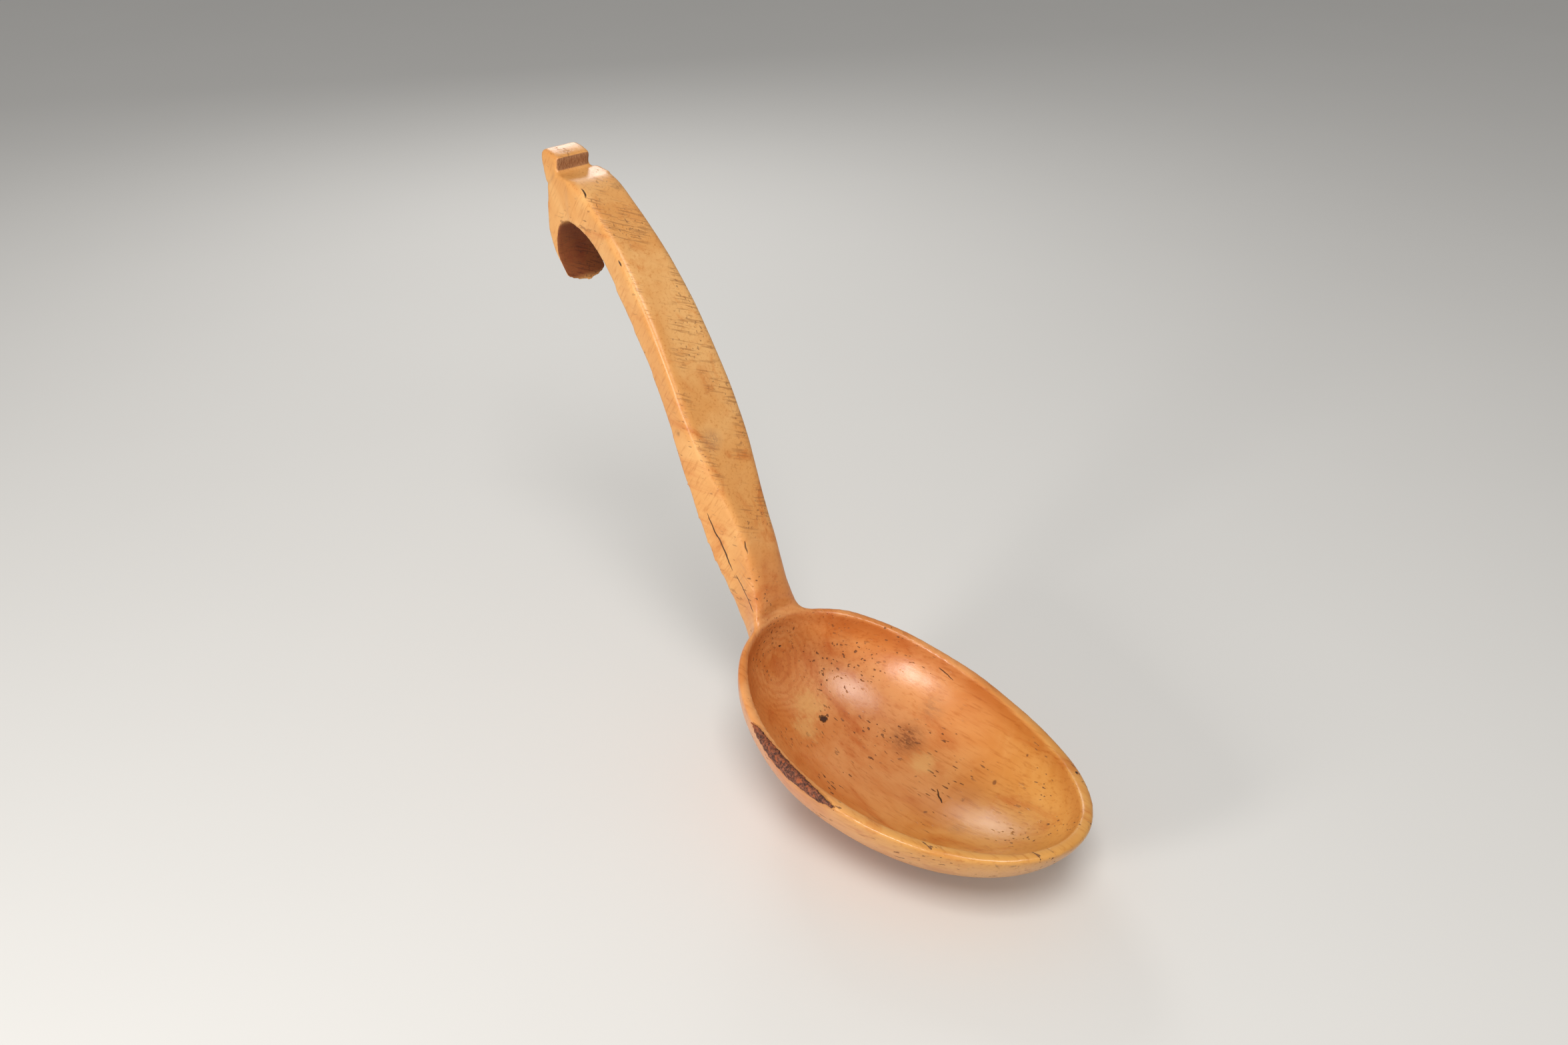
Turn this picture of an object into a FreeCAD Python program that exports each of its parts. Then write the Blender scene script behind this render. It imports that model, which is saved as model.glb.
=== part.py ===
import FreeCAD, Part
import math
import os
import Sketcher

# A carved wooden ladle with a hanging hook, in millimetres, +Z up.
# It hangs over the rim of a bucket: the origin is the seat of the hook, where the bucket's rim bears,
# +X runs from the hook to the tip of the bowl, and Y is the width.
# The hook's plate is then upright and the bowl is nearly level.

SIZES = [
    # Handle: side curves through these points, the upper one from the crest to the sill under the rim.
    ("crest_x", 0.0), ("crest_z", 17.0),
    ("brow_x", 7.0), ("brow_z", 15.2),
    ("shoulder_x", 14.5), ("shoulder_z", 10.8),
    ("upper_x", 34.0), ("upper_z", -4.6),
    ("grip_x", 57.5), ("grip_z", -31.4),
    ("lower_x", 81.0), ("lower_z", -67.8),
    ("neck_x", 100.8), ("neck_z", -99.8),
    ("collar_x", 108.0), ("collar_z", -115.5),
    ("lip_x", 112.6), ("lip_z", -127.0),
    ("saddle_x", 119.0), ("saddle_z", -136.2),
    ("sill_x", 131.0), ("sill_z", -145.0),
    # The lower curve, from the hook's seat to the root under the bowl's back.
    ("seat_x", 0.0), ("seat_z", 0.0),
    ("arch_x", 12.4), ("arch_z", -4.2),
    ("under_x", 31.7), ("under_z", -21.6),
    ("elbow_x", 54.3), ("elbow_z", -49.6),
    ("back_x", 76.8), ("back_z", -92.2),
    ("nape_x", 92.0), ("nape_z", -126.8),
    ("root_x", 114.0), ("root_z", -158.0),
    # Plan curve: half widths along X.
    ("plan_start_x", 0.0), ("plan_start_y", 11.0),
    ("plan_upper_x", 34.0), ("plan_upper_y", 11.5),
    ("plan_grip_x", 60.0), ("plan_grip_y", 13.3),
    ("plan_lower_x", 79.0), ("plan_lower_y", 13.0),
    ("plan_waist_x", 102.0), ("plan_waist_y", 8.8),
    ("plan_collar_x", 110.0), ("plan_collar_y", 11.4),
    ("plan_flare_x", 116.6), ("plan_flare_y", 20.0),
    ("plan_wing_x", 131.0), ("plan_wing_y", 30.0),
    ("handle_blank_width", 80.0), ("handle_blank_depth", 500.0), ("handle_edge_round", 3.0),
    ("carving_depth", 400.0),
    # Hook: side outline of the plate behind the handle.
    ("notch_x", -14.8), ("notch_z", 11.3),
    ("step_x", -8.6), ("step_z", 17.6),
    ("throat_x", -8.4), ("throat_z", -7.2),
    ("tip_in_x", -1.7), ("tip_in_z", -27.1),
    ("tip_out_x", -3.0), ("tip_out_z", -27.6),
    ("plate_x", -15.9), ("plate_z", -5.4),
    ("throat_round", 8.5), ("claw_in_round", 18.0), ("claw_out_round", 45.0), ("step_round", 60.0),
    ("hook_width", 21.0),
    # Hook: end outline across the width, a rounded tongue.
    ("tongue_left_y", -12.0), ("tongue_right_y", 12.0), ("tongue_z", -23.3), ("tongue_clear_z", -40.0),
    ("tongue_round", 20.0),
    # Head block: the stub left above the crest, with its sawn front, a little to the -Y side.
    ("block_front_x", -7.4), ("block_front_z", 23.8),
    ("block_top_x", -16.0), ("block_top_z", 25.6),
    ("block_back_x", -20.0), ("block_back_z", 22.4),
    ("block_under_x", -17.2), ("block_under_z", 11.3),
    ("block_top_round", 30.0), ("block_shoulder_round", 3.6), ("block_back_round", 60.0),
    ("block_width", 16.6), ("block_shift", -1.2), ("block_edge_round", 1.6),
    # Bowl: an upright egg, turned a little to one side, with a rim that dips like a saddle.
    ("bowl_x", 181.5), ("bowl_z", -141.3), ("bowl_yaw", 1.5),
    ("bowl_front", 82.2), ("bowl_rear", 73.7), ("bowl_half_width", 48.5), ("bowl_drop", 46.0),
    ("wall_front", 4.2), ("wall_rear", 4.7), ("wall_side", 4.5), ("hollow_rise", 1.5), ("hollow_drop", 39.0),
    ("rim_x", 228.8), ("rim_z", 195.3), ("rim_sweep", 346.5), ("lip_round", 1.6),
    ("flat_height", 0.9), ("trim_size", 260.0),
    # Bark left on the corner of the rim, on the -Y side.
    ("bark_x", 178.0), ("bark_y", -47.4), ("bark_z", -147.9), ("bark_lean", 62.0), ("bark_turn", 1.0),
    ("bark_length", 70.0), ("bark_width", 20.0), ("bark_thick", 2.0),
]

UPPER_POINTS = ["crest", "brow", "shoulder", "upper", "grip", "lower", "neck", "collar", "lip", "saddle", "sill"]
LOWER_POINTS = ["root", "nape", "back", "elbow", "under", "arch", "seat"]
PLAN_POINTS = ["plan_start", "plan_upper", "plan_grip", "plan_lower", "plan_waist", "plan_collar", "plan_flare",
               "plan_wing"]

doc = FreeCAD.newDocument("ladle")
sheet = doc.addObject("Spreadsheet::Sheet", "sizes")
for row, (alias, value) in enumerate(SIZES, start=1):
    sheet.set("A%d" % row, alias)
    sheet.set("B%d" % row, str(value))
    sheet.setAlias("B%d" % row, alias)
doc.recompute()


def size(alias):
    """The number in the sheet's cell."""
    return float(getattr(sheet, alias))


def arc_between(start, end, radius):
    """A counter-clockwise arc, or the line, from start to end; a positive radius bulges to the right."""
    if not radius:
        return Part.LineSegment(start, end), 1, 2
    chord = end.sub(start)
    half = chord.Length / 2
    sagitta = abs(radius) - math.sqrt(radius * radius - half * half)
    right = FreeCAD.Vector(chord.y, -chord.x, 0).normalize()
    middle = start.add(end).multiply(0.5).add(right.multiply(math.copysign(sagitta, radius)))
    if radius > 0:
        return Part.Arc(start, middle, end), 1, 2
    return Part.Arc(end, middle, start), 2, 1


def outline(sketch, corners, side=""):
    """Draw a closed outline in a sketch and bind each corner and arc to the sheet.

    corners lists (x cell, y cell, arc cell, bulge): the arc or line runs to the next corner, and bulge is
    +1 to the right of the way there, -1 to the left and 0 for a line. side "-" mirrors the outline in Y.
    """
    sign = -1 if side else 1
    points = [FreeCAD.Vector(size(x), sign * size(y), 0) for x, y, arc, bulge in corners]
    placed = []
    for index, (x, y, arc, bulge) in enumerate(corners):
        radius = sign * bulge * size(arc) if bulge else 0
        curve, first, last = arc_between(points[index], points[(index + 1) % len(points)], radius)
        placed.append((sketch.addGeometry(curve), first, last))
    for index, (x, y, arc, bulge) in enumerate(corners):
        geometry, first, last = placed[index]
        following, next_first, next_last = placed[(index + 1) % len(placed)]
        sketch.addConstraint(Sketcher.Constraint("Coincident", geometry, last, following, next_first))
        bind(sketch, Sketcher.Constraint("DistanceX", -1, 1, geometry, first, points[index].x), "sizes." + x)
        bind(sketch, Sketcher.Constraint("DistanceY", -1, 1, geometry, first, points[index].y),
             side + "sizes." + y)
        if bulge:
            bind(sketch, Sketcher.Constraint("Radius", geometry, size(arc)), "sizes." + arc)


def bind(sketch, constraint, expression):
    """Add a constraint whose value follows an expression."""
    number = sketch.addConstraint(constraint)
    name = "size_%d" % number
    sketch.renameConstraint(number, name)
    sketch.setExpression("Constraints." + name, expression)


def new_sketch(body, role, name):
    """A sketch on one of the body's own origin planes."""
    sketch = body.newObject("Sketcher::SketchObject", name)
    plane = [item for item in body.Origin.OriginFeatures if item.Role == role][0]
    sketch.AttachmentSupport = [(plane, "")]
    sketch.MapMode = "FlatFace"
    return sketch


def pad_both_ways(body, sketch, name, width):
    """A pad of the sketch, half of the width to each side of its plane."""
    pad = body.newObject("PartDesign::Pad", name)
    pad.Profile = sketch
    pad.SideType = "Symmetric"
    pad.setExpression("Length", "sizes." + width)
    doc.recompute()
    return pad


def pocket_both_ways(body, sketch, name, depth):
    """A pocket to each side of the sketch's plane; it has to remove something."""
    before = body.Shape.Volume
    pocket = body.newObject("PartDesign::Pocket", name)
    pocket.Profile = sketch
    pocket.SideType = "Symmetric"
    pocket.setExpression("Length", "sizes." + depth)
    doc.recompute()
    if body.Shape.Volume > before - 1:
        raise RuntimeError(name + " cuts nothing")
    return pocket


def round_edges(body, base, name, radius, wanted):
    """Round the edges of the base feature that the test wants."""
    fillet = body.newObject("PartDesign::Fillet", name)
    names = ["Edge%d" % number for number, edge in enumerate(base.Shape.Edges, start=1) if wanted(edge)]
    fillet.Base = (base, names)
    fillet.setExpression("Radius", "sizes." + radius)
    doc.recompute()
    return fillet


def smooth_curve(names, across, up, sign=1):
    """An edge that passes smoothly through named points of the sheet; sign -1 mirrors it."""
    cells = [(size(name + "_" + across), sign * size(name + "_" + up)) for name in names]
    if up == "z":
        points = [FreeCAD.Vector(first, 0, second) for first, second in cells]
    else:
        points = [FreeCAD.Vector(first, second, 0) for first, second in cells]
    curve = Part.BSplineCurve()
    curve.interpolate(points)
    return curve.toShape()


def carved_outline(name, curves):
    """A closed outline of two curves, one after the other, joined by straight cuts."""
    first, second = curves
    ends = [curve.Vertexes[index].Point for curve in curves for index in (0, -1)]
    cuts = [Part.makeLine(ends[1], ends[2]), Part.makeLine(ends[3], ends[0])]
    feature = doc.addObject("Part::Feature", name)
    feature.Shape = Part.Face(Part.Wire([first, cuts[0], second, cuts[1]]))
    feature.Placement = FreeCAD.Placement()
    return feature


def blank_from(name, face, direction, length):
    """A solid sawn from the outline, half of the length to each side."""
    sawn = doc.addObject("Part::Extrusion", name)
    sawn.Base = face
    sawn.DirMode = "Custom"
    sawn.Dir = direction
    sawn.Solid = True
    sawn.Symmetric = True
    sawn.setExpression("LengthFwd", "sizes." + length)
    doc.recompute()
    return sawn


def along_top(edge):
    """Whether an edge runs along one of the handle's two upper corners."""
    box = edge.BoundBox
    return box.XLength > 60 and min(abs(box.YMin), abs(box.YMax)) > 5 and box.ZMax > 1


def above_crest(edge):
    """Whether an edge lies wholly above the step of the sawn front."""
    return all(vertex.Point.z > size("step_z") + 0.5 for vertex in edge.Vertexes)


def combine(kind, name, **links):
    """A boolean of finished shapes, such as Part::Cut with Base and Tool."""
    result = doc.addObject(kind, name)
    for link, value in links.items():
        setattr(result, link, value)
    doc.recompute()
    return result


def rounded_part(name, base, numbers, radius):
    """A copy of a shape with the numbered edges rounded to the sheet's radius."""
    rounded = doc.addObject("Part::Fillet", name)
    rounded.Base = base
    rounded.Edges = [(number, size(radius), size(radius)) for number in numbers]
    doc.recompute()
    return rounded


# ---------------------------------------------------------------- bowl

def half_egg(name, turn, length, half_width, drop, rise):
    """Half of an ellipsoid, on one side of the bowl's widest section."""
    half = doc.addObject("Part::Ellipsoid", name)
    half.Angle3 = 180
    half.setExpression("Radius1", drop)
    half.setExpression("Radius2", half_width)
    half.setExpression("Radius3", length)
    half.setExpression("Placement.Base.x", "sizes.bowl_x")
    half.setExpression("Placement.Base.z", "sizes.bowl_z + " + rise)
    half.Placement.Rotation = FreeCAD.Rotation(FreeCAD.Vector(0, 0, 1), turn)
    half.setExpression("Placement.Rotation.Angle", "(%d + sizes.bowl_yaw) * 1 deg" % turn)
    return half


def egg(name, front, rear, side, drop, rise):
    """A whole egg: a longer front half and a shorter rear half of the same width."""
    ahead = half_egg(name + "_front", -90, front, side, drop, rise)
    behind = half_egg(name + "_rear", 90, rear, side, drop, rise)
    return combine("Part::MultiFuse", name, Shapes=[ahead, behind])


def make_blank(outside):
    """The bowl before hollowing: the outer egg, cut off at the saddle of the rim and at the worn flat."""
    above = doc.addObject("Part::Cylinder", "above_rim")
    above.setExpression("Radius", "sizes.rim_sweep")
    above.setExpression("Height", "sizes.trim_size")
    above.Placement.Rotation = FreeCAD.Rotation(FreeCAD.Vector(1, 0, 0), 90)
    above.setExpression("Placement.Base.x", "sizes.rim_x")
    above.setExpression("Placement.Base.y", "sizes.trim_size / 2")
    above.setExpression("Placement.Base.z", "sizes.rim_z")
    below = doc.addObject("Part::Box", "below_flat")
    for edge in ("Length", "Width", "Height"):
        below.setExpression(edge, "sizes.trim_size")
    below.setExpression("Placement.Base.x", "sizes.bowl_x - sizes.trim_size / 2")
    below.setExpression("Placement.Base.y", "-sizes.trim_size / 2")
    below.setExpression("Placement.Base.z",
                        "sizes.bowl_z - sizes.bowl_drop + sizes.flat_height - sizes.trim_size")
    trimmed = combine("Part::Cut", "rim_cut", Base=outside, Tool=above)
    return combine("Part::Cut", "blank", Base=trimmed, Tool=below)


def rim_edges(shape):
    """The numbers of the edges that run along the rim's saddle."""
    numbers = []
    for number, edge in enumerate(shape.Edges, start=1):
        if edge.Degenerated or edge.Length < 10:
            continue
        points = edge.discretize(7)
        reaches = [math.hypot(point.x - size("rim_x"), point.z - size("rim_z")) for point in points]
        if max(abs(reach - size("rim_sweep")) for reach in reaches) < 0.01:
            numbers.append(number)
    return numbers


def bark_slab(name, width, thick, out):
    """A leaning slab that takes the corner off the rim; out is how far it starts from the wane's face."""
    slab = doc.addObject("Part::Box", name)
    slab.setExpression("Length", "sizes.bark_length")
    slab.setExpression("Width", width)
    slab.setExpression("Height", thick)
    turn = FreeCAD.Rotation(FreeCAD.Vector(0, 0, 1), size("bark_turn"))
    lean = FreeCAD.Rotation(FreeCAD.Vector(1, 0, 0), size("bark_lean"))
    rotation = turn.multiply(lean)
    corner = FreeCAD.Vector(-size("bark_length") / 2, -size(width_cell(width)) / 2, out)
    centre = FreeCAD.Vector(size("bark_x"), size("bark_y"), size("bark_z"))
    slab.Placement = FreeCAD.Placement(centre.add(rotation.multVec(corner)), rotation)
    return slab


def width_cell(expression):
    """The cell that an expression such as sizes.bark_width names."""
    return expression.split(".")[1]


outside = egg("outside", "sizes.bowl_front", "sizes.bowl_rear", "sizes.bowl_half_width", "sizes.bowl_drop", "0")
hollow = egg("hollow", "sizes.bowl_front - sizes.wall_front", "sizes.bowl_rear - sizes.wall_rear",
             "sizes.bowl_half_width - sizes.wall_side", "sizes.hollow_drop", "sizes.hollow_rise")
blank = make_blank(outside)
rounded_blank = rounded_part("rounded_blank", blank, rim_edges(blank.Shape), "lip_round")
shell = combine("Part::Cut", "shell", Base=rounded_blank, Tool=hollow)
wane = bark_slab("wane", "sizes.bark_width", "sizes.bark_width", -size("bark_thick"))
bowl = combine("Part::Cut", "bowl", Base=shell, Tool=wane)
bark_layer = bark_slab("bark_layer", "sizes.bark_width", "sizes.bark_thick", -size("bark_thick"))
bark = combine("Part::MultiCommon", "bark_remnant", Shapes=[shell, bark_layer])

# ---------------------------------------------------------------- handle

handle_side = carved_outline("handle_side", [
    smooth_curve(UPPER_POINTS, "x", "z"),
    smooth_curve(LOWER_POINTS, "x", "z"),
])
handle_plan = carved_outline("handle_plan", [
    smooth_curve(PLAN_POINTS, "x", "y"),
    smooth_curve(PLAN_POINTS[::-1], "x", "y", -1),
])
side_blank = blank_from("side_blank", handle_side, FreeCAD.Vector(0, 1, 0), "handle_blank_width")
plan_blank = blank_from("plan_blank", handle_plan, FreeCAD.Vector(0, 0, 1), "handle_blank_depth")
stick = combine("Part::MultiCommon", "stick", Shapes=[side_blank, plan_blank])
upper_edges = [number for number, edge in enumerate(stick.Shape.Edges, start=1) if along_top(edge)]
upper_rounded = rounded_part("stick_upper", stick, upper_edges, "handle_edge_round")
handle = combine("Part::Cut", "handle", Base=upper_rounded, Tool=doc.getObject("outside_rear"))

# ---------------------------------------------------------------- hook

hook = doc.addObject("PartDesign::Body", "hook")
hook_side = new_sketch(hook, "XZ_Plane", "hook_side")
outline(hook_side, [
    ("seat_x", "seat_z", "throat_round", 1),
    ("throat_x", "throat_z", "claw_in_round", 1),
    ("tip_in_x", "tip_in_z", "", 0),
    ("tip_out_x", "tip_out_z", "claw_out_round", -1),
    ("plate_x", "plate_z", "", 0),
    ("notch_x", "notch_z", "", 0),
    ("step_x", "step_z", "step_round", -1),
    ("crest_x", "crest_z", "", 0),
])
pad_both_ways(hook, hook_side, "hook_pad", "hook_width")
tongue = new_sketch(hook, "YZ_Plane", "hook_tongue")
outline(tongue, [
    ("tongue_left_y", "tongue_z", "tongue_round", 1),
    ("tongue_right_y", "tongue_z", "", 0),
    ("tongue_right_y", "tongue_clear_z", "", 0),
    ("tongue_left_y", "tongue_clear_z", "", 0),
])
pocket_both_ways(hook, tongue, "hook_end", "carving_depth")

# ---------------------------------------------------------------- head block

head_block = doc.addObject("PartDesign::Body", "head_block")
head_block.setExpression("Placement.Base.y", "sizes.block_shift")
block_side = new_sketch(head_block, "XZ_Plane", "block_side")
outline(block_side, [
    ("step_x", "step_z", "", 0),
    ("block_front_x", "block_front_z", "block_top_round", 1),
    ("block_top_x", "block_top_z", "block_shoulder_round", 1),
    ("block_back_x", "block_back_z", "block_back_round", 1),
    ("block_under_x", "block_under_z", "", 0),
    ("notch_x", "notch_z", "", 0),
])
block_pad = pad_both_ways(head_block, block_side, "block_pad", "block_width")
round_edges(head_block, block_pad, "block_edges", "block_edge_round", above_crest)

# ---------------------------------------------------------------- write the pieces

NODES = {
    "bowl": bowl,
    "bark_remnant": bark,
    "handle": handle,
    "hook": hook,
    "head_block": head_block,
}
for name, piece in NODES.items():
    piece.Label = name
doc.recompute()
for item in doc.Objects:
    if "Invalid" in item.State or "Error" in item.State:
        raise RuntimeError(item.Name + " failed: " + ", ".join(item.State))
for name, piece in NODES.items():
    if piece.Shape.isNull() or not piece.Shape.isValid() or len(piece.Shape.Solids) != 1:
        raise RuntimeError(name + " is not one valid solid")
os.makedirs("parts", exist_ok=True)
for name, piece in NODES.items():
    piece.Shape.exportStep("parts/%s.step" % name)
    print("%-14s %9.1f mm3" % (name, piece.Shape.Volume))
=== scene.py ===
import math
import bpy
import bmesh
import numpy as np
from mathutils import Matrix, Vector, noise
from mathutils.bvhtree import BVHTree


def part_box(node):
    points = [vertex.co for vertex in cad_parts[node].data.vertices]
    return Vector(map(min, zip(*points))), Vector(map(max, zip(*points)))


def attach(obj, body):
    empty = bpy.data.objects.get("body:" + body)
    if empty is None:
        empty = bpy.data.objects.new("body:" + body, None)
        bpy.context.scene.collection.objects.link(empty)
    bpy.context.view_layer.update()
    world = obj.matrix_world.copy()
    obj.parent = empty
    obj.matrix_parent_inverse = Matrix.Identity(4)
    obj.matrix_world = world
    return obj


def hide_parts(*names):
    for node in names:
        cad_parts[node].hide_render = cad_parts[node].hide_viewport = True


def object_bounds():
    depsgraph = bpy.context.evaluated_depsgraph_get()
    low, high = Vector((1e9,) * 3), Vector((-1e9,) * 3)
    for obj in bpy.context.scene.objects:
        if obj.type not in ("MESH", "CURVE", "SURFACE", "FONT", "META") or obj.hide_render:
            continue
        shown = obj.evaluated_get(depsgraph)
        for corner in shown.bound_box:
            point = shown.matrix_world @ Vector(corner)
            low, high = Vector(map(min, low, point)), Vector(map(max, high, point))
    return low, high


# A carved wooden ladle, in metres: +X from the hook to the tip of the bowl, +Z up, the hook's seat at
# the origin. The wooden parts are one surface, cut into the CAD pieces after it has been carved.

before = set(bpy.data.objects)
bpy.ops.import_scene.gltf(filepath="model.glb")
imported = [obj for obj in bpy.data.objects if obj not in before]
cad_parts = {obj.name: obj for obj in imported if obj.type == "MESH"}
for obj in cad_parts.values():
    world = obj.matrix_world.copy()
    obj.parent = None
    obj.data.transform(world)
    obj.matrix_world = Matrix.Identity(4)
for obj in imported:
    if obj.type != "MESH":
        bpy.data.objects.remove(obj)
cad_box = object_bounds()

MM = 0.001
BOWL_LOW, BOWL_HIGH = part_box("bowl")
HANDLE_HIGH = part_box("handle")[1]
HOOK_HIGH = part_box("hook")[1]
BLOCK_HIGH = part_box("head_block")[1]
BARK_LOW, BARK_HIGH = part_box("bark_remnant")

BOWL_LENGTH = BOWL_HIGH[0] - BOWL_LOW[0]
BOWL_HALF = BOWL_HIGH[1]
BOWL_DEEP = BOWL_HIGH[2] - BOWL_LOW[2]
NECK = Vector((BOWL_LOW[0] + 2 * MM, 0.0, BOWL_HIGH[2]))
GRIP_DROP = HANDLE_HIGH[2] - NECK.z
HANDLE_RUN = NECK.x
HALF_GRIP = 13 * MM

# The rim dips like a saddle: it lies on a cylinder about a line along Y, high above the bowl.
RIM_SWEEP = 346.5 * MM
RIM_AXIS_FROM_TIP = 33 * MM
RIM_AXIS_RISE = 326 * MM
RIM_AXIS = (BOWL_HIGH[0] - RIM_AXIS_FROM_TIP, 0.0, BOWL_HIGH[2] + RIM_AXIS_RISE)

# Carving: the cell of the mesh, the rounds that soften the wood, and how far in its marks reach.
WOODEN_NODES = ["bowl", "handle", "hook", "head_block"]
CARVING_CELL = 0.8 * MM
EDGE_ROUNDS = 5
NECK_ROUNDS = 32
CLAW_ROUNDS = 14
DENT_SPAN = 22 * MM
DENT_DEPTH = 0.28 * MM
TOOL_SPAN = 7 * MM
TOOL_DEPTH = 0.07 * MM

# Bark: its cell and its crumbs, which stand out from the CAD surface but stay in the CAD box.
BARK_CELL = 0.5 * MM
BARK_ROUNDS = 2
CRUMB_SPAN = 1.6 * MM
CRUMB_RISE = 0.12 * MM
CRUMB_DEPTH = 0.16 * MM

# Depth of the relief in the materials, how far a crack strays, and its half width at the tips.
WOOD_RELIEF = 0.30 * MM
BARK_RELIEF = 0.35 * MM
FLOOR_RELIEF = 0.02 * MM
CRACK_WANDER = 2.4 * MM
CRACK_TIP = 0.04 * MM

# Bark colours: the ground from its deeper to its paler tone, the flecks and the rust.
BARK_BROWN = ((0.050, 0.013, 0.006, 1), (0.300, 0.075, 0.024, 1))
BARK_FLECK = (0.26, 0.14, 0.085, 1)
BARK_RUST = (0.42, 0.095, 0.022, 1)

# The floor is a square; this is half its side.
FLOOR_HALF = 3.0
FLOOR_COLOUR = (0.74, 0.73, 0.71)
FLOOR_ROUGHNESS = 0.85

# Square area lights: name, place, width in metres, power in watts, colour.
LIGHTS = [
    ("key", (0.60, -0.42, 0.85), 0.50, 8.5, (1.0, 0.98, 0.95)),
    ("side", (0.17, -0.95, 0.14), 0.20, 4.5, (1.0, 0.97, 0.93)),
    ("back", (-0.57, 0.35, 0.35), 0.25, 1.5, (1.0, 0.99, 0.97)),
]
SURROUND_COLOUR = (1.0, 0.99, 0.97, 1)
SURROUND_STRENGTH = 0.32

# Camera: heading and dip in degrees, lens and sensor in millimetres.
CAMERA_PLACE = (0.5057, -0.3406, 0.2081)
CAMERA_HEADING = 138.9
CAMERA_DIP = 29.8
LENS = 36.7
SENSOR = 36.0


# ---------------------------------------------------------------- carving

def ramp(values, start, end):
    """0 at start, 1 at end, and smooth between them."""
    along = np.clip((values - start) / (end - start), 0.0, 1.0)
    return along * along * (3 - 2 * along)


def joined_copy(names):
    """One mesh that holds copies of several CAD nodes."""
    whole = bmesh.new()
    for name in names:
        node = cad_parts[name]
        part = node.data.copy()
        part.transform(node.matrix_world)
        whole.from_mesh(part)
        bpy.data.meshes.remove(part)
    mesh = bpy.data.meshes.new("joined")
    whole.to_mesh(mesh)
    whole.free()
    return mesh


def remeshed(mesh, cell):
    """An even mesh of square faces over the outside of a solid."""
    holder = bpy.data.objects.new("holder", mesh)
    bpy.context.collection.objects.link(holder)
    remesh = holder.modifiers.new("remesh", "REMESH")
    remesh.mode = "VOXEL"
    remesh.voxel_size = cell
    seen = holder.evaluated_get(bpy.context.evaluated_depsgraph_get())
    result = bpy.data.meshes.new_from_object(seen)
    bpy.data.objects.remove(holder)
    bpy.data.meshes.remove(mesh)
    return result


def points_of(mesh):
    """The vertices as an array."""
    flat = np.empty(len(mesh.vertices) * 3)
    mesh.vertices.foreach_get("co", flat)
    return flat.reshape(-1, 3)


def normals_of(mesh):
    """The vertex normals as an array."""
    flat = np.empty(len(mesh.vertices) * 3)
    mesh.vertex_normals.foreach_get("vector", flat)
    return flat.reshape(-1, 3)


def edges_of(mesh):
    """The edges as an array of vertex pairs."""
    flat = np.empty(len(mesh.edges) * 2, dtype=np.int64)
    mesh.edges.foreach_get("vertices", flat)
    return flat.reshape(-1, 2)


def put_points(mesh, points):
    """Give the mesh new vertex positions."""
    mesh.vertices.foreach_set("co", points.ravel())
    mesh.update()


def relaxed(points, edges, strength, rounds):
    """Draw each point towards the middle of its neighbours, by its own strength."""
    first, second = edges[:, 0], edges[:, 1]
    count = np.bincount(edges.ravel(), minlength=len(points))[:, None]
    for _ in range(rounds):
        total = np.empty_like(points)
        for axis in range(3):
            total[:, axis] = (np.bincount(first, points[second, axis], len(points))
                              + np.bincount(second, points[first, axis], len(points)))
        points = points + strength[:, None] * (total / count - points)
    return points


def unevenness(points, wavelength):
    """Smooth noise from about -1 to 1 at each point."""
    scaled = points / wavelength
    return np.array([noise.noise(Vector(point)) for point in scaled])


def carved_wood():
    """The four wooden parts as one worn, hand-carved surface."""
    mesh = remeshed(joined_copy(WOODEN_NODES), CARVING_CELL)
    points = points_of(mesh)
    edges = edges_of(mesh)
    everywhere = np.full(len(points), 0.5)
    points = relaxed(points, edges, everywhere, EDGE_ROUNDS)
    neck_reach = np.linalg.norm(points - np.array(NECK), axis=1)
    at_neck = 1 - ramp(neck_reach, 13 * MM, 32 * MM)
    points = relaxed(points, edges, 0.9 * at_neck, NECK_ROUNDS)
    at_claw = ramp(points[:, 2], -14 * MM, -22 * MM) * ramp(points[:, 0], 12 * MM, 4 * MM)
    points = relaxed(points, edges, 0.8 * at_claw, CLAW_ROUNDS)
    put_points(mesh, points)
    dents = unevenness(points, DENT_SPAN)
    tool_marks = unevenness(points + 0.3, TOOL_SPAN)
    depth = DENT_DEPTH * (1 + dents) + TOOL_DEPTH * (1 + tool_marks)
    put_points(mesh, points - normals_of(mesh) * depth[:, None])
    return mesh


def nearest_nodes(mesh, names):
    """For each face, which of the CAD nodes lies nearest to its middle."""
    trees = []
    for name in names:
        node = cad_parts[name]
        part = bmesh.new()
        part.from_mesh(node.data)
        part.transform(node.matrix_world)
        trees.append(BVHTree.FromBMesh(part))
        part.free()
    owners = []
    for face in mesh.polygons:
        reaches = [tree.find_nearest(face.center)[3] for tree in trees]
        owners.append(reaches.index(min(reaches)))
    return np.array(owners)


def piece_from(mesh, name, faces, normals):
    """A piece made of some faces of the mesh, shaded with the whole mesh's normals."""
    used = sorted({vertex for index in faces for vertex in mesh.polygons[index].vertices})
    place = {vertex: index for index, vertex in enumerate(used)}
    points = [mesh.vertices[vertex].co for vertex in used]
    loops = [[place[vertex] for vertex in mesh.polygons[index].vertices] for index in faces]
    part = bpy.data.meshes.new(name)
    part.from_pydata(points, [], loops)
    part.shade_smooth()
    part.normals_split_custom_set_from_vertices([tuple(normals[vertex]) for vertex in used])
    return add_piece(name, part)


def add_piece(name, mesh):
    """An object of the ladle, carried by its one rigid body."""
    piece = bpy.data.objects.new(name, mesh)
    bpy.context.collection.objects.link(piece)
    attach(piece, "root")
    return piece


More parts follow.
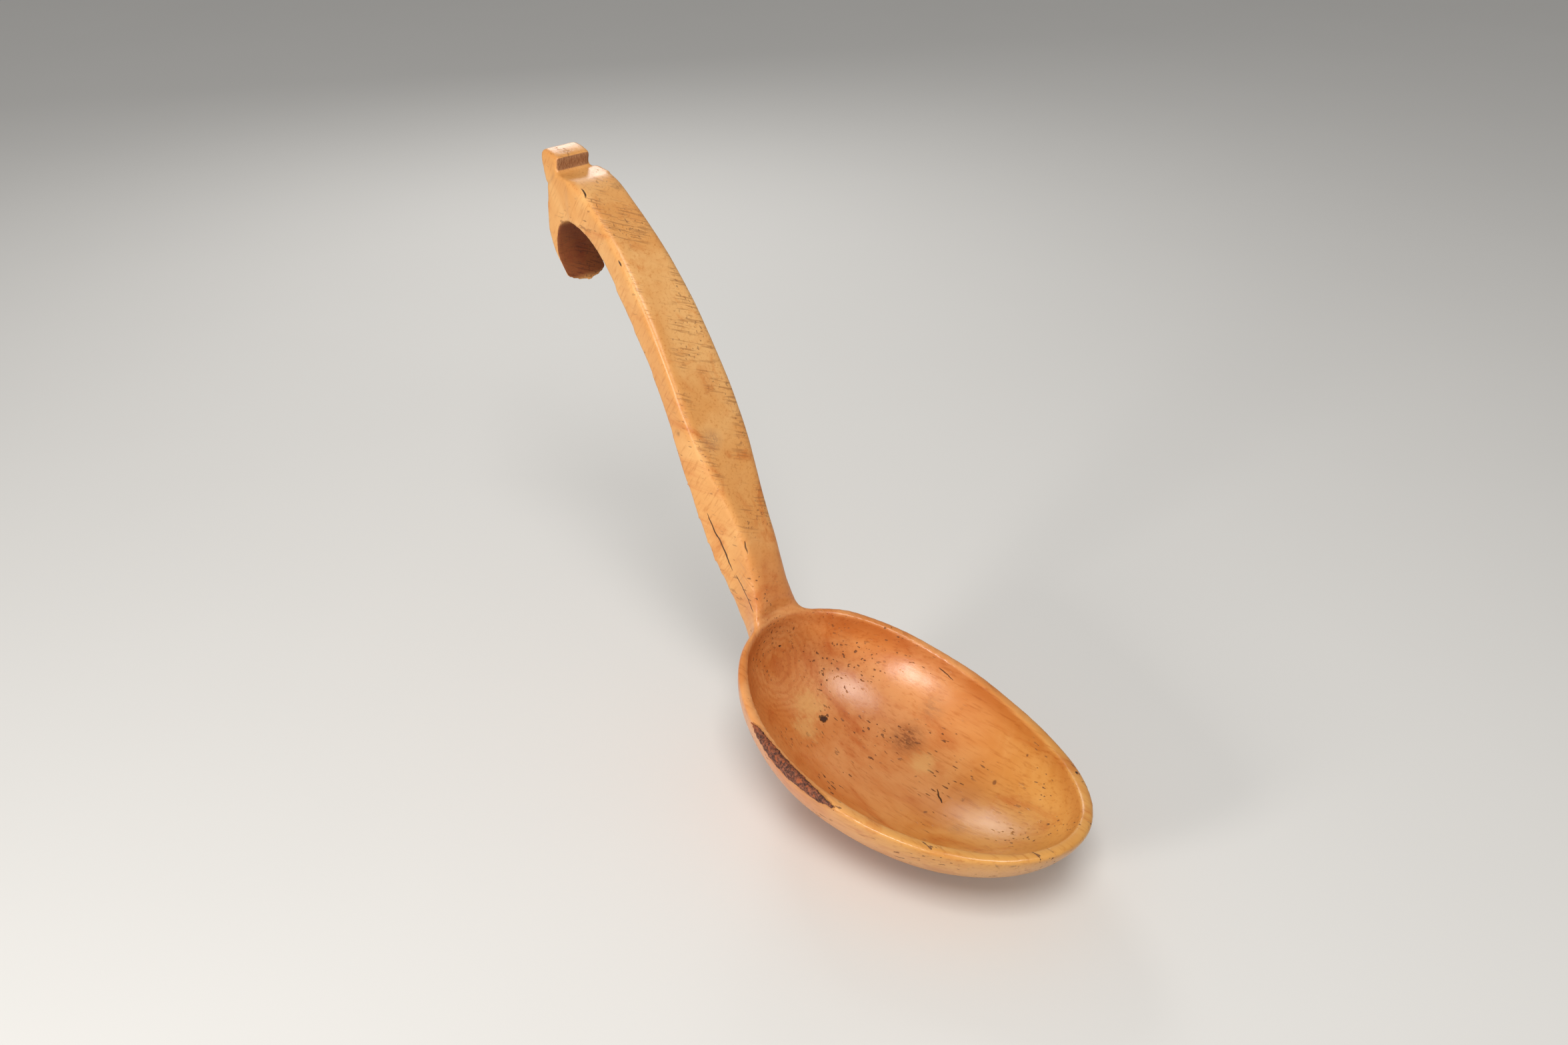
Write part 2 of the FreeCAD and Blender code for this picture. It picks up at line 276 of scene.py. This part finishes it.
def make_wooden_pieces():
    """Cut the carved surface into one piece for each wooden CAD node."""
    mesh = carved_wood()
    normals = normals_of(mesh)
    owners = nearest_nodes(mesh, WOODEN_NODES)
    pieces = {}
    for index, name in enumerate(WOODEN_NODES):
        faces = np.flatnonzero(owners == index).tolist()
        pieces[name] = piece_from(mesh, name + "_wood", faces, normals)
        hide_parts(name)
    bpy.data.meshes.remove(mesh)
    return pieces


def make_bark():
    """The lens of bark, crumbly all over."""
    mesh = remeshed(joined_copy(["bark_remnant"]), BARK_CELL)
    points = points_of(mesh)
    points = relaxed(points, edges_of(mesh), np.full(len(points), 0.5), BARK_ROUNDS)
    put_points(mesh, points)
    crumbs = unevenness(points, CRUMB_SPAN) + 0.6 * unevenness(points + 0.2, CRUMB_SPAN / 2)
    crumbled = points + normals_of(mesh) * (CRUMB_RISE + CRUMB_DEPTH * crumbs)[:, None]
    put_points(mesh, np.clip(crumbled, BARK_LOW, BARK_HIGH))
    mesh.shade_smooth()
    piece = add_piece("bark_crust", mesh)
    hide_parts("bark_remnant")
    return piece


# ---------------------------------------------------------------- materials

class Shader:
    """A node material, with one short call for each kind of node."""

    def __init__(self, name):
        self.material = bpy.data.materials.new(name)
        self.material.use_nodes = True
        self.nodes = self.material.node_tree.nodes
        self.links = self.material.node_tree.links
        self.surface = self.nodes["Principled BSDF"]
        self.place = self.nodes.new("ShaderNodeTexCoord").outputs["Object"]
        self.axes = self.nodes.new("ShaderNodeSeparateXYZ")
        self.links.new(self.place, self.axes.inputs[0])

    def feed(self, socket, value):
        """Link an output to a socket, or write a constant in it."""
        if isinstance(value, bpy.types.NodeSocket):
            self.links.new(value, socket)
        else:
            socket.default_value = value

    def math(self, operation, first, second=0.0, third=0.0):
        """A math node's value."""
        node = self.nodes.new("ShaderNodeMath")
        node.operation = operation
        for socket, value in zip(node.inputs, (first, second, third)):
            self.feed(socket, value)
        return node.outputs[0]

    def vector(self, operation, first, second=(0.0, 0.0, 0.0), out=0):
        """A vector math node's vector, or its value with out=1."""
        node = self.nodes.new("ShaderNodeVectorMath")
        node.operation = operation
        self.feed(node.inputs[0], first)
        self.feed(node.inputs[1], second)
        return node.outputs[out]

    def fade(self, value, start, end):
        """0 at start, 1 at end, and smooth between them."""
        node = self.nodes.new("ShaderNodeMapRange")
        node.interpolation_type = "SMOOTHSTEP"
        self.feed(node.inputs["Value"], value)
        self.feed(node.inputs["From Min"], start)
        self.feed(node.inputs["From Max"], end)
        return node.outputs["Result"]

    def both(self, first, *others):
        """The product of several masks."""
        for other in others:
            first = self.math("MULTIPLY", first, other)
        return first

    def invert(self, mask):
        """One minus a mask."""
        return self.math("SUBTRACT", 1.0, mask)

    def stretched(self, turn, scale, tilt=0.0):
        """The place, tilted about X and turned about Y, then scaled in cells per metre."""
        turned = self.nodes.new("ShaderNodeMapping")
        turned.vector_type = "POINT"
        turned.inputs["Rotation"].default_value = (tilt, turn, 0.0)
        self.links.new(self.place, turned.inputs["Vector"])
        return self.vector("MULTIPLY", turned.outputs[0], scale)

    def grain(self, where, scale=1.0, detail=3.0, rough=0.55, distortion=0.0):
        """Noise from 0 to 1."""
        node = self.nodes.new("ShaderNodeTexNoise")
        self.feed(node.inputs["Vector"], where)
        node.inputs["Scale"].default_value = scale
        node.inputs["Detail"].default_value = detail
        node.inputs["Roughness"].default_value = rough
        node.inputs["Distortion"].default_value = distortion
        return node.outputs[0]

    def tint(self, base, colour, mask, blend="MIX"):
        """The base colour turned towards another one by a mask."""
        node = self.nodes.new("ShaderNodeMix")
        node.data_type = "RGBA"
        node.blend_type = blend
        factor, first, second = (node.inputs[index] for index in (0, 6, 7))
        self.feed(factor, mask)
        self.feed(first, base)
        self.feed(second, colour)
        return node.outputs[2]

    def darken(self, base, colour, mask):
        """The base colour multiplied by another one by a mask."""
        return self.tint(base, colour, mask, "MULTIPLY")

    def largest(self, masks):
        """The strongest of several masks."""
        result = masks[0]
        for mask in masks[1:]:
            result = self.math("MAXIMUM", result, mask)
        return result

    def spot(self, centre, radius, ragged, wobble, soft=0.5):
        """A blot about a point, with an edge made ragged by noise."""
        reach = self.vector("DISTANCE", self.place, centre, out=1)
        rough_edge = self.math("MULTIPLY_ADD", self.math("SUBTRACT", wobble, 0.5), ragged * radius, reach)
        return self.fade(rough_edge, radius, radius * (1 - soft))

    def line(self, start, end, half_width, wander, press):
        """A crack between two points: 1 in the middle, 0 at its edge, tapering towards both ends.

        The distance across it is scaled by press, which lets it reach through an uneven surface.
        """
        start, end = Vector(start), Vector(end)
        run = end - start
        away = self.vector("SUBTRACT", self.vector("ADD", self.place, wander), tuple(start))
        along = self.vector("DOT_PRODUCT", away, tuple(run / run.length_squared), out=1)
        held = self.math("MINIMUM", self.math("MAXIMUM", along, 0.0), 1.0)
        foot = self.nodes.new("ShaderNodeVectorMath")
        foot.operation = "SCALE"
        foot.inputs[0].default_value = tuple(run)
        self.links.new(held, foot.inputs["Scale"])
        aside = self.vector("MULTIPLY", self.vector("SUBTRACT", away, foot.outputs[0]), press)
        reach = self.vector("LENGTH", aside, out=1)
        bulge = self.math("MULTIPLY", self.math("MULTIPLY", held, self.invert(held)), 4.0)
        wide = self.math("MULTIPLY_ADD", self.math("SQRT", bulge), half_width, CRACK_TIP)
        return self.fade(self.math("DIVIDE", reach, wide), 1.0, 0.35)

    def finish(self, colour, roughness, height, depth):
        """Link the results to the surface; height is in units of depth."""
        bump = self.nodes.new("ShaderNodeBump")
        bump.inputs["Strength"].default_value = 1.0
        bump.inputs["Distance"].default_value = depth
        self.feed(bump.inputs["Height"], height)
        self.links.new(bump.outputs["Normal"], self.surface.inputs["Normal"])
        self.feed(self.surface.inputs["Base Color"], colour)
        self.feed(self.surface.inputs["Roughness"], roughness)
        return self.material


def in_bowl(along, across, sink):
    """A point of the bowl: along its length from the neck, across its half width, down its depth."""
    return Vector((BOWL_LOW[0] + along * BOWL_LENGTH, across * BOWL_HALF, BOWL_HIGH[2] - sink * BOWL_DEEP))


def on_handle(along, across, drop):
    """A point of the handle: forward from the seat, across its half grip, down from the crest."""
    return Vector((along * HANDLE_RUN, across * HALF_GRIP, HANDLE_HIGH[2] - drop * GRIP_DROP))


# The wood's ground colours, each from its deeper to its paler tone.
HONEY = ((0.70, 0.315, 0.085, 1), (0.80, 0.43, 0.15, 1))
AMBER = ((0.62, 0.215, 0.050, 1), (0.72, 0.315, 0.105, 1))
GOLD = ((0.60, 0.255, 0.048, 1), (0.66, 0.315, 0.075, 1))
SAWN_END = ((0.30, 0.115, 0.040, 1), (0.46, 0.215, 0.090, 1))

# Colours that multiply the ground.
FLAME_SHADE = (0.82, 0.58, 0.38, 1)
# The rim band's colour is partly dirt and partly painted shade under the rim.
RIM_DIRT_AND_PAINTED_SHADE = (0.72, 0.50, 0.34, 1)
RING_SHADE = (0.80, 0.58, 0.42, 1)
FIBRE_SHADE = (0.84, 0.74, 0.62, 1)
# The throat colour is painted shade in the hook's recess.
THROAT_PAINTED_SHADE = (0.26, 0.13, 0.06, 1)

# Colours that cover the ground.
RUBBED_PALE = (0.78, 0.46, 0.16, 1)
OLD_SPOT = (0.30, 0.11, 0.030, 1)
STROKE_BROWN = (0.36, 0.145, 0.040, 1)
PIT_BROWN = (0.20, 0.070, 0.020, 1)
PORE_DIRT = (0.13, 0.045, 0.014, 1)
KNOT_BLACK = (0.06, 0.02, 0.008, 1)
CRACK_BLACK = (0.030, 0.010, 0.005, 1)

# Feathered stains: middle, radius in mm, colour, strength.
STAINS = [
    (in_bowl(0.364, 0.44, 0.742), 10.0, (0.27, 0.085, 0.018, 1), 0.95),
    (in_bowl(0.28, 0.22, 0.68), 6.0, (0.40, 0.125, 0.026, 1), 0.65),
    (in_bowl(0.37, 0.70, 0.58), 8.0, (0.36, 0.17, 0.075, 1), 0.50),
    (in_bowl(0.60, 0.36, 0.72), 7.0, (0.40, 0.14, 0.035, 1), 0.40),
    (in_bowl(0.66, 0.02, 0.80), 5.0, OLD_SPOT, 0.55),
    (in_bowl(0.52, -0.40, 0.80), 4.5, OLD_SPOT, 0.50),
    (in_bowl(0.09, 0.55, 0.30), 9.0, (0.40, 0.17, 0.070, 1), 0.50),
    (on_handle(0.73, -0.4, 0.56), 6.5, (0.36, 0.17, 0.080, 1), 0.70),
    (on_handle(0.63, -1.0, 0.55), 2.2, (0.26, 0.10, 0.025, 1), 0.80),
    (on_handle(0.09, 0.5, 0.02), 3.2, (0.16, 0.06, 0.020, 1), 0.75),
]

# Pale places where the oil has been rubbed off: middle, radius in mm.
RUBBED = [
    (in_bowl(0.14, 0.02, 0.62), 9.0),
    (in_bowl(0.44, 0.38, 0.80), 7.0),
    (in_bowl(0.19, -0.15, 0.66), 8.0),
]

# Small pits in the floor of the bowl: middle, radius in mm.
PITS = [
    (in_bowl(0.674, 0.73, 0.510), 0.8),
    (in_bowl(0.635, 0.52, 0.706), 1.1),
    (in_bowl(0.600, 0.29, 0.796), 1.5),
    (in_bowl(0.558, 0.02, 0.850), 1.1),
    (in_bowl(0.454, 0.25, 0.830), 0.9),
    (in_bowl(0.710, 0.42, 0.650), 0.7),
    (in_bowl(0.760, 0.30, 0.640), 0.7),
    (in_bowl(0.740, 0.10, 0.720), 0.8),
    (in_bowl(0.300, 0.30, 0.760), 0.7),
]
KNOT = (in_bowl(0.183, 0.063, 0.688), 1.9)

# Which way a crack reaches through its surface: the distance to it counts for little that way.
SIDEWAYS = (1.0, 0.15, 1.0)
DOWNWARDS = (1.0, 1.0, 0.2)
FORWARDS = (0.25, 1.0, 0.5)

# Cracks along the grain: start, end, half width in mm, way through.
CRACKS = [
    (on_handle(0.765, -0.95, 0.75), on_handle(0.865, -0.75, 0.90), 0.46, SIDEWAYS),
    (on_handle(0.880, -0.72, 0.905), on_handle(0.99, -0.80, 0.985), 0.40, SIDEWAYS),
    (on_handle(0.06, -0.62, 0.010), on_handle(0.11, -0.70, 0.045), 0.40, DOWNWARDS),
    (on_handle(0.14, -0.76, 0.050), on_handle(0.19, -0.78, 0.085), 0.36, DOWNWARDS),
    (on_handle(0.29, -0.85, 0.150), on_handle(0.33, -0.88, 0.180), 0.36, DOWNWARDS),
    (on_handle(0.915, -0.55, 0.780), on_handle(0.95, -0.55, 0.840), 0.36, FORWARDS),
    (on_handle(0.48, 0.05, 0.26), on_handle(0.55, 0.10, 0.325), 0.22, FORWARDS),
    (in_bowl(0.915, -0.50, 0.36), in_bowl(0.925, -0.44, 0.47), 0.30, FORWARDS),
    (in_bowl(0.52, 0.26, 0.83), in_bowl(0.565, 0.18, 0.85), 0.32, DOWNWARDS),
    (in_bowl(0.34, 0.84, 0.34), in_bowl(0.39, 0.86, 0.38), 0.26, SIDEWAYS),
    (in_bowl(0.83, 0.70, 0.37), in_bowl(0.885, 0.66, 0.37), 0.28, SIDEWAYS),
    (in_bowl(0.034, -0.02, 0.26), in_bowl(0.053, 0.23, 0.24), 0.28, DOWNWARDS),
    (on_handle(0.94, 0.35, 0.78), on_handle(0.955, 0.42, 0.83), 0.20, FORWARDS),
]


class OiledWood(Shader):
    """Oiled birch, honey-coloured and worn, the same on every carved part.

    Each method lays one more thing over the colour, and keeps the mask that the relief needs.
    """

    def __init__(self):
        super().__init__("oiled_wood")
        self.x, _, self.z = self.axes.outputs
        self.normal = self.nodes.new("ShaderNodeNewGeometry").outputs["Normal"]
        self.grip_turn = math.atan2(GRIP_DROP, HANDLE_RUN * 0.85)
        self.in_hand = self.fade(self.x, NECK.x + 6 * MM, NECK.x - 16 * MM)
        self.wobble = self.grain(self.place, 420.0, 4.0, 0.7)
        self.feather = self.grain(self.stretched(0.05, (130.0, 620.0, 620.0)), 1.0, 3.0, 0.7)
        self.colour = self.ground()

    def facing(self, direction, start, end):
        """0 to 1 as the surface's normal, measured along a direction, goes from start to end."""
        return self.fade(self.vector("DOT_PRODUCT", direction, self.normal, out=1), start, end)

    def ground(self):
        """Honey on the handle, amber at the back of the bowl and gold at its tip, with a flamed figure."""
        cloud = self.grain(self.place, 28.0, 4.0, 0.6, 0.6)
        honey = self.tint(*HONEY, self.fade(cloud, 0.35, 0.68))
        amber = self.tint(*AMBER, self.fade(cloud, 0.38, 0.66))
        gold = self.tint(*GOLD, self.fade(cloud, 0.40, 0.62))
        toward_tip = self.fade(self.x, in_bowl(0.35, 0, 0).x, in_bowl(0.8, 0, 0).x)
        base = self.tint(self.tint(amber, gold, toward_tip), honey, self.in_hand)
        flame = self.grain(self.stretched(0.05, (18.0, 60.0, 60.0)), 1.0, 5.0, 0.65, 1.2)
        return self.darken(base, FLAME_SHADE, self.fade(flame, 0.48, 0.74))

    def add_rim_dirt_and_painted_shade(self):
        """A darker band in the hollow just under the rim: partly dirt where hands and food leave their
        mark, partly painted shade under the rim's lip.
        """
        from_axis = self.vector("MULTIPLY", self.vector("SUBTRACT", self.place, RIM_AXIS), (1.0, 0.0, 1.0))
        under_rim = self.math("SUBTRACT", self.vector("LENGTH", from_axis, out=1), RIM_SWEEP)
        top = self.fade(under_rim, 0.5 * MM, 1.8 * MM)
        foot = self.fade(under_rim, 9 * MM, 2.5 * MM)
        toward_middle = self.vector("SUBTRACT", tuple(in_bowl(0.47, 0.0, 0.3)), self.place)
        in_hollow = self.facing(toward_middle, 0.0, 8 * MM)
        dirt_and_painted_shade = self.both(top, foot, in_hollow, self.invert(self.in_hand), 0.55)
        # Darken the band under the rim: partly dirt, partly painted shade.
        self.colour = self.darken(self.colour, RIM_DIRT_AND_PAINTED_SHADE, dirt_and_painted_shade)

    def add_heart_rings(self):
        """Rings where the surface cuts the heart of the wood, at the back of the bowl and on the neck."""
        heart = tuple(in_bowl(0.10, -0.08, 0.30))
        rings = self.nodes.new("ShaderNodeTexWave")
        rings.wave_type = "RINGS"
        rings.rings_direction = "SPHERICAL"
        rings.inputs["Scale"].default_value = 165.0
        rings.inputs["Distortion"].default_value = 5.0
        rings.inputs["Detail"].default_value = 2.0
        rings.inputs["Detail Scale"].default_value = 1.2
        self.links.new(self.vector("SUBTRACT", self.place, heart), rings.inputs["Vector"])
        near_heart = self.fade(self.vector("DISTANCE", self.place, heart, out=1), 36 * MM, 8 * MM)
        ring_mask = self.both(self.fade(rings.outputs[1], 0.35, 0.8), near_heart, 0.38)
        self.colour = self.darken(self.colour, RING_SHADE, ring_mask)

    def add_fibres(self):
        """Fine streaks along the grain, and sparse dark dashes where pores are filled with dirt."""
        bowl_fibre = self.grain(self.stretched(0.06, (90.0, 900.0, 900.0)), 1.0, 3.0, 0.6, 0.3)
        grip_fibre = self.grain(self.stretched(self.grip_turn, (110.0, 1000.0, 1000.0)), 1.0, 3.0, 0.6, 0.3)
        self.fibre = self.math("ADD", self.both(grip_fibre, self.in_hand),
                               self.both(bowl_fibre, self.invert(self.in_hand)))
        self.colour = self.darken(self.colour, FIBRE_SHADE, self.fade(self.fibre, 0.50, 0.72))
        dash = self.grain(self.stretched(0.10, (210.0, 850.0, 850.0)), 1.0, 1.0, 0.4)
        crowd = self.fade(self.grain(self.place, 60.0, 2.0, 0.5), 0.46, 0.62)
        fewer_in_hand = self.math("MULTIPLY_ADD", self.in_hand, -0.45, 1.0)
        self.pores = self.both(self.fade(dash, 0.665, 0.71), crowd, fewer_in_hand)
        self.colour = self.tint(self.colour, PORE_DIRT, self.both(self.pores, 0.85))

    def add_knife_strokes(self):
        """Old knife strokes across the top of the handle."""
        across = self.stretched(self.grip_turn - 0.9, (120.0, 110.0, 1700.0), 0.40)
        strokes = self.fade(self.grain(across, 1.0, 2.0, 0.5), 0.54, 0.64)
        patches = self.fade(self.grain(self.place, 60.0, 2.0), 0.42, 0.58)
        on_top = self.facing((0.80, 0.0, 0.60), 0.55, 0.85)
        self.strokes = self.both(strokes, patches, self.in_hand, on_top, 0.60)
        self.colour = self.tint(self.colour, STROKE_BROWN, self.strokes)

    def add_blots(self):
        """Dark feathered stains, pale rubbed places, small pits and a knot."""
        streaked = self.math("MULTIPLY_ADD", self.fade(self.feather, 0.44, 0.60), 0.75, 0.25)
        for middle, radius, stain, strength in STAINS:
            mask = self.spot(tuple(middle), radius * MM, 1.5, self.feather, 0.75)
            self.colour = self.tint(self.colour, stain, self.both(mask, streaked, strength))
        for middle, radius in RUBBED:
            mask = self.spot(tuple(middle), radius * MM, 1.3, self.feather, 0.8)
            self.colour = self.tint(self.colour, RUBBED_PALE, self.both(mask, 0.55))
        for middle, radius in PITS:
            mask = self.spot(tuple(middle), radius * MM, 1.4, self.wobble, 0.5)
            self.colour = self.tint(self.colour, PIT_BROWN, self.both(mask, 0.80))
        middle, radius = KNOT
        self.knot = self.spot(tuple(middle), radius * MM, 2.0, self.wobble, 0.4)
        self.colour = self.tint(self.colour, KNOT_BLACK, self.knot)

    def add_cracks(self):
        """Cracks along the grain, with a little wander."""
        drift = self.nodes.new("ShaderNodeTexNoise")
        drift.inputs["Scale"].default_value = 140.0
        self.links.new(self.place, drift.inputs["Vector"])
        centred = self.vector("SUBTRACT", drift.outputs["Color"], (0.5, 0.5, 0.5))
        wander = self.vector("MULTIPLY", centred, (CRACK_WANDER, CRACK_WANDER, CRACK_WANDER))
        self.crack = self.largest([self.line(start, end, half_width * MM, wander, press)
                                   for start, end, half_width, press in CRACKS])
        self.colour = self.tint(self.colour, CRACK_BLACK, self.both(self.crack, 0.95))

    def add_sawn_front(self):
        """The sawn front of the head block: brown, with torn pale fibres."""
        above_crest = self.fade(self.z, HOOK_HIGH[2] - 0.4 * MM, HOOK_HIGH[2] + 0.4 * MM)
        behind_front = self.fade(self.x, BLOCK_HIGH[0] + 1 * MM, BLOCK_HIGH[0] + 0.2 * MM)
        self.sawn = self.both(self.facing((0.93, 0.0, -0.30), 0.62, 0.80), above_crest, behind_front)
        self.torn = self.grain(self.stretched(0.0, (700.0, 2400.0, 500.0)), 1.0, 3.0, 0.7)
        end_grain = self.tint(*SAWN_END, self.fade(self.torn, 0.4, 0.65))
        self.colour = self.tint(self.colour, end_grain, self.sawn)

    def add_throat_painted_shade(self):
        """Painted shade in the hook's throat: the recess is darkened where shade falls."""
        self.throat = self.both(self.fade(self.x, -2.5 * MM, -5.5 * MM),
                                self.fade(self.z, 1.0 * MM, -4.0 * MM),
                                self.facing((1.0, 0.0, -0.1), 0.1, 0.6))
        # Painted shade: the throat's recess is darkened.
        self.colour = self.darken(self.colour, THROAT_PAINTED_SHADE, self.throat)

    def relief(self):
        """Fibres, pores and cracks, gouge marks in the throat and rasp marks on the neck's ridge."""
        gouge = self.both(self.grain(self.stretched(0.0, (60.0, 60.0, 620.0)), 1.0, 2.0, 0.5), self.throat)
        on_ridge = self.spot(tuple(on_handle(0.97, -0.60, 0.885)), 11 * MM, 0.0, self.wobble, 0.6)
        teeth = self.grain(self.stretched(self.grip_turn, (560.0, 60.0, 60.0)), 1.0, 1.0)
        rasp = self.both(self.fade(teeth, 0.4, 0.6), on_ridge, self.in_hand)
        height = self.math("MULTIPLY", self.fibre, 0.10)
        for mask, rise in [
            (self.wobble, 0.10),
            (gouge, 2.2),
            (rasp, 0.8),
            (self.torn, self.both(self.sawn, 1.6)),
            (self.pores, -0.7),
            (self.strokes, -0.4),
            (self.largest([self.crack, self.knot]), -1.6),
        ]:
            height = self.math("MULTIPLY_ADD", mask, rise, height)
        return height

    def roughness(self):
        """Satin, a little duller in the hand and dull where the wood is raw or dirty."""
        dull = self.math("MULTIPLY_ADD", self.grain(self.place, 90.0, 3.0), 0.16, 0.22)
        raw = self.largest([self.sawn, self.throat, self.pores, self.crack])
        dull = self.math("MULTIPLY_ADD", raw, 0.35, dull)
        return self.math("MULTIPLY_ADD", self.in_hand, 0.06, dull)


def wood_material():
    """The wood, with everything laid over its ground in order."""
    wood = OiledWood()
    wood.add_rim_dirt_and_painted_shade()
    wood.add_heart_rings()
    wood.add_fibres()
    wood.add_knife_strokes()
    wood.add_blots()
    wood.add_cracks()
    wood.add_sawn_front()
    wood.add_throat_painted_shade()
    return wood.finish(wood.colour, wood.roughness(), wood.relief(), WOOD_RELIEF)


def bark_material():
    """Dark red-brown bark, with pale flecks, a few rusty spots and a rusty end."""
    bark = Shader("old_bark")
    lumps = bark.grain(bark.place, 900.0, 4.0, 0.7)
    colour = bark.tint(*BARK_BROWN, bark.fade(lumps, 0.38, 0.66))
    flecks = bark.fade(bark.grain(bark.place, 1700.0, 2.0, 0.5), 0.62, 0.70)
    colour = bark.tint(colour, BARK_FLECK, bark.both(flecks, 0.5))
    rust = bark.fade(bark.grain(bark.place, 330.0, 2.0, 0.5), 0.60, 0.70)
    toward_neck = bark.fade(bark.axes.outputs[0], BARK_LOW[0] + 7 * MM, BARK_LOW[0] + 1 * MM)
    colour = bark.tint(colour, BARK_RUST, bark.both(bark.largest([rust, toward_neck]), 0.7))
    return bark.finish(colour, bark.fade(lumps, 1.1, 0.1), lumps, BARK_RELIEF)


# ---------------------------------------------------------------- stage

def floor_material():
    """A matt pale surface with a breath of variation."""
    plain = Shader("pale_floor")
    cloud = plain.grain(plain.place, 6.0, 2.0)
    darker = tuple(0.97 * part for part in FLOOR_COLOUR) + (1,)
    colour = plain.tint(FLOOR_COLOUR + (1,), darker, cloud)
    return plain.finish(colour, FLOOR_ROUGHNESS, cloud, FLOOR_RELIEF)


def make_floor(height):
    """A large pale floor, level with the underside of the bowl."""
    sheet = bmesh.new()
    bmesh.ops.create_grid(sheet, x_segments=2, y_segments=2, size=FLOOR_HALF)
    mesh = bpy.data.meshes.new("floor")
    sheet.to_mesh(mesh)
    sheet.free()
    floor = bpy.data.objects.new("floor", mesh)
    bpy.context.collection.objects.link(floor)
    floor.location = (BOWL_LENGTH, 0.0, height)
    mesh.materials.append(floor_material())


def soft_light(name, place, aim, width, power, colour):
    """A square area light that looks at a point."""
    data = bpy.data.lights.new(name, "AREA")
    data.shape = "SQUARE"
    data.size = width
    data.energy = power
    data.color = colour
    lamp = bpy.data.objects.new(name, data)
    lamp.location = place
    lamp.rotation_euler = (aim - Vector(place)).to_track_quat("-Z", "Y").to_euler()
    bpy.context.collection.objects.link(lamp)


def make_lights():
    """A key light high on the near side, a low one beside it, a weak one behind, and a pale surround."""
    middle = in_bowl(0.3, 0.0, 0.4)
    for name, place, width, power, colour in LIGHTS:
        soft_light(name, place, middle, width, power, colour)
    world = bpy.data.worlds.new("surround")
    world.use_nodes = True
    surround = world.node_tree.nodes["Background"]
    surround.inputs["Color"].default_value = SURROUND_COLOUR
    surround.inputs["Strength"].default_value = SURROUND_STRENGTH
    bpy.context.scene.world = world


def make_camera():
    """Above the bowl's tip on the near side, looking back and down at the whole ladle."""
    data = bpy.data.cameras.new("camera")
    data.sensor_width = SENSOR
    data.lens = LENS
    camera = bpy.data.objects.new("camera", data)
    camera.location = CAMERA_PLACE
    up_from_down = math.radians(90 - CAMERA_DIP)
    camera.rotation_euler = (up_from_down, 0.0, math.radians(CAMERA_HEADING - 90))
    bpy.context.collection.objects.link(camera)
    bpy.context.scene.camera = camera


bpy.context.scene.view_settings.view_transform = "Standard"
wooden = make_wooden_pieces()
bark = make_bark()
wood = wood_material()
for piece in wooden.values():
    piece.data.materials.append(wood)
bark.data.materials.append(bark_material())
make_floor(cad_box[0][2])
make_lights()
make_camera()
